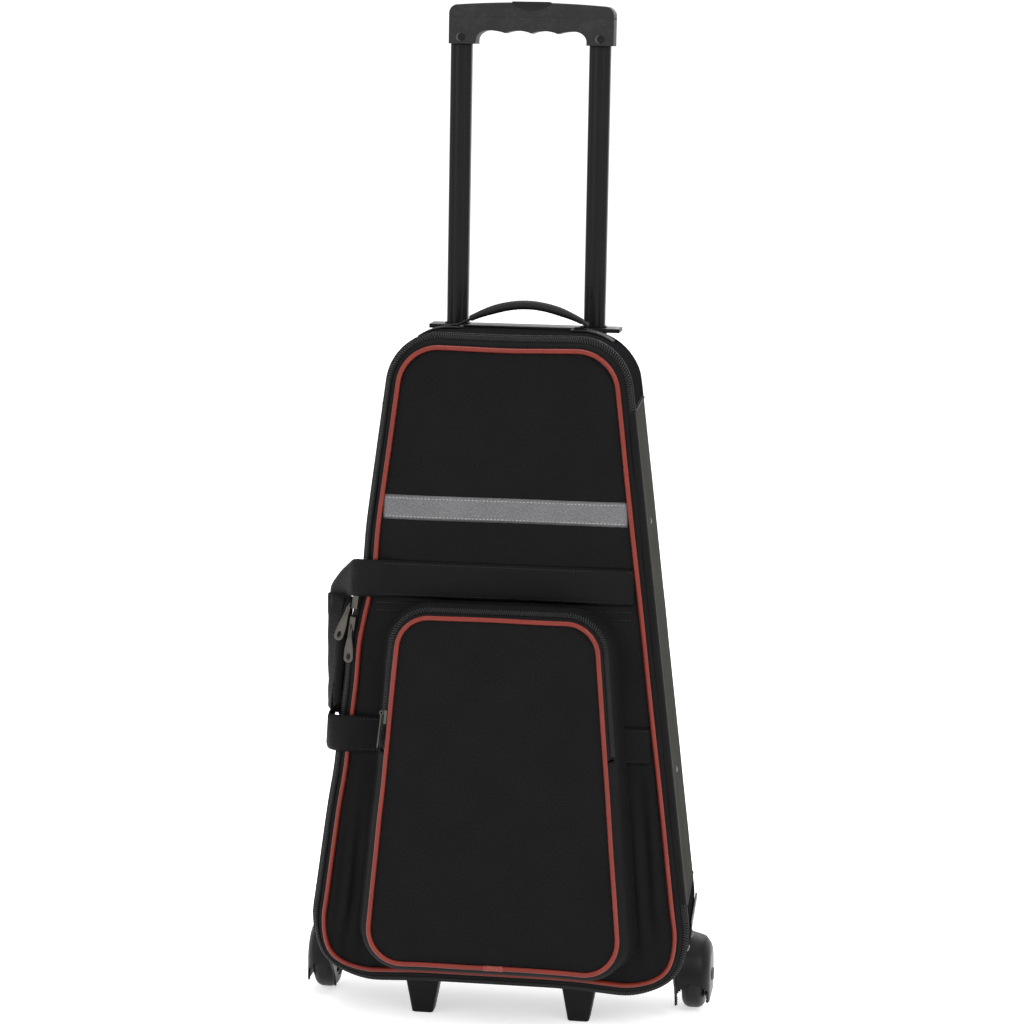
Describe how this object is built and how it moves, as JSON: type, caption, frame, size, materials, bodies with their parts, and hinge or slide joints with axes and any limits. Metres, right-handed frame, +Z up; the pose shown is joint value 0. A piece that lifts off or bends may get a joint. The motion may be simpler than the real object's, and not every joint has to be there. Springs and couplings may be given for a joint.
{
  "type": "rolling percussion kit case",
  "caption": "Tall trapezoid wheeled soft case with a book-opening zipped front, piped front pocket, telescopic handle, webbing carry handles, rear wheels and front feet.",
  "frame": {"origin": "middle of the floor under the case's bounding box", "axes": "+X to the viewer's right facing the front panel, +Y to the back where the wheels are, +Z up"},
  "size_m": [0.4314, 0.1994, 1.0404],
  "materials": {
    "case_fabric": "woven, matt",
    "board": "smooth",
    "webbing": "ribbed, matt",
    "zipper": "coil",
    "tube": "black anodised, satin",
    "moulding": "fine grain",
    "bolt": "dark plated",
    "rivet": "nickel plated",
    "front_fabric": "woven, matt",
    "piping": "satin cord",
    "reflective": "glass bead tape",
    "pocket_fabric": "woven, matt",
    "tyre": "smooth tread",
    "hub": "satin",
    "bearing": "ground",
    "grip": "fine grain",
    "button": "fine grain",
    "spring": "bright",
    "handle_rubber": "fine grain",
    "sleeve": "padded wrap",
    "pull": "gunmetal nickel"
  },
  "bodies": {
    "case": {"gusset_top": "case_fabric", "gusset_bottom": "case_fabric", "gusset_left": "case_fabric", "gusset_right": "case_fabric", "back_panel": "case_fabric", "back_board": "board", "base_board": "board", "hold_straps": "webbing", "case_zipper": "zipper", "outer_tubes": "tube", "tube_socket": "moulding", "trolley_plate": "moulding", "wheel_housing_left": "moulding", "wheel_housing_right": "moulding", "axle_bolts": "bolt", "side_rivets": "rivet", "feet": "moulding", "foot_screws": "bolt", "handle_anchors": "webbing", "rear_handle_loop": "webbing"},
    "trolley": {"inner_tube_left": "tube", "inner_tube_right": "tube", "grip_body": "grip", "grip_cap": "grip", "grip_screws": "bolt", "button_spring": "spring"},
    "button": {"release_button": "button", "release_yoke": "button"},
    "pin_left": {"lock_pin_left": "bolt"},
    "pin_right": {"lock_pin_right": "bolt"},
    "wheel_left": {"tyre_left": "tyre", "hub_left": "hub", "bearings_left": "bearing"},
    "wheel_right": {"tyre_right": "tyre", "hub_right": "hub", "bearings_right": "bearing"},
    "lid": {"front_panel": "front_fabric", "lid_band": "case_fabric", "lid_piping": "piping", "lid_zipper": "zipper", "reflective_tape": "reflective", "upper_strap": "webbing", "lower_strap": "webbing", "pocket_gusset": "pocket_fabric", "pocket_front_lower": "pocket_fabric", "pocket_piping_lower": "piping", "pocket_zipper_inner": "zipper"},
    "pocket_flap": {"pocket_front_upper": "pocket_fabric", "pocket_piping_upper": "piping", "pocket_zipper_outer": "zipper"},
    "top_handle": {"top_handle_grip": "handle_rubber", "top_handle_webbing": "webbing"},
    "side_handle": {"side_handle_webbing": "webbing", "side_handle_sleeve": "sleeve"},
    "upper_slider": {"slider_upper": "pull"},
    "upper_tab": {"tab_upper": "pull"},
    "lower_slider": {"slider_lower": "pull"},
    "lower_tab": {"tab_lower": "pull"},
    "pocket_slide": {"pocket_slider": "pull"},
    "pocket_pull": {"pocket_tab": "pull"}
  },
  "joints": [
    {"name": "trolley_slide", "type": "slide", "parent": "case", "child": "trolley", "axis": [0, 0, 1], "range_m": [-0.281, 0]},
    {"name": "button_press", "type": "slide", "parent": "trolley", "child": "button", "axis": [0, 0, -1], "range_m": [0, 0.004], "stiffness_N_per_m": 500, "springref_m": -0.004, "deforming": ["button_spring"]},
    {"name": "pin_left_slide", "type": "slide", "parent": "trolley", "child": "pin_left", "axis": [1, 0, 0], "range_m": [0, 0.0025]},
    {"name": "pin_right_slide", "type": "slide", "parent": "trolley", "child": "pin_right", "axis": [-1, 0, 0], "range_m": [0, 0.0025]},
    {"name": "wheel_left_spin", "type": "hinge", "parent": "case", "child": "wheel_left", "pos_m": [-0.1956, 0.04875, 0.036], "axis": [1, 0, 0], "continuous": true},
    {"name": "wheel_right_spin", "type": "hinge", "parent": "case", "child": "wheel_right", "pos_m": [0.1956, 0.04875, 0.036], "axis": [1, 0, 0], "continuous": true},
    {"name": "lid_hinge", "type": "hinge", "parent": "case", "child": "lid", "pos_m": [0.16055, -0.0454, 0.385], "axis": [-0.1262, 0, 0.992], "range_deg": [0, 150]},
    {"name": "pocket_flap_hinge", "type": "hinge", "parent": "lid", "child": "pocket_flap", "pos_m": [0, -0.10025, 0.29], "axis": [1, 0, 0], "range_deg": [0, 120]},
    {"name": "top_handle_hinge", "type": "hinge", "parent": "case", "child": "top_handle", "pos_m": [0.01, 0.00475, 0.718], "axis": [1, 0, 0], "range_deg": [-75, 75]},
    {"name": "side_handle_hinge", "type": "hinge", "parent": "lid", "child": "side_handle", "pos_m": [-0.1633, -0.06125, 0.38], "axis": [0.1262, 0, 0.992], "range_deg": [0, 60]},
    {"name": "upper_slider_slide", "type": "slide", "parent": "lid", "child": "upper_slider", "axis": [0.1262, 0, 0.992], "range_m": [0, 0.19]},
    {"name": "upper_tab_hinge", "type": "hinge", "parent": "upper_slider", "child": "upper_tab", "pos_m": [-0.16056, -0.05765, 0.4306], "axis": [-1, 0, 0], "range_deg": [0, 150]},
    {"name": "lower_slider_slide", "type": "slide", "parent": "lid", "child": "lower_slider", "axis": [0.1262, 0, 0.992], "range_m": [-0.27, 0]},
    {"name": "lower_tab_hinge", "type": "hinge", "parent": "lower_slider", "child": "lower_tab", "pos_m": [-0.15667, -0.0558, 0.4081], "axis": [-1, 0, 0], "range_deg": [0, 95]},
    {"name": "pocket_slider_slide", "type": "slide", "parent": "lid", "child": "pocket_slide", "axis": [0.0877, 0, 0.9961], "range_m": [-0.02, 0.07]},
    {"name": "pocket_tab_hinge", "type": "hinge", "parent": "pocket_slide", "child": "pocket_pull", "pos_m": [-0.11526, -0.09225, 0.33028], "axis": [0, 1, 0], "range_deg": [0, 150]}
  ],
  "couplings": [
    {"joint": "pin_left_slide", "follows": "button_press", "ratio": 0.625},
    {"joint": "pin_right_slide", "follows": "button_press", "ratio": 0.625}
  ]
}
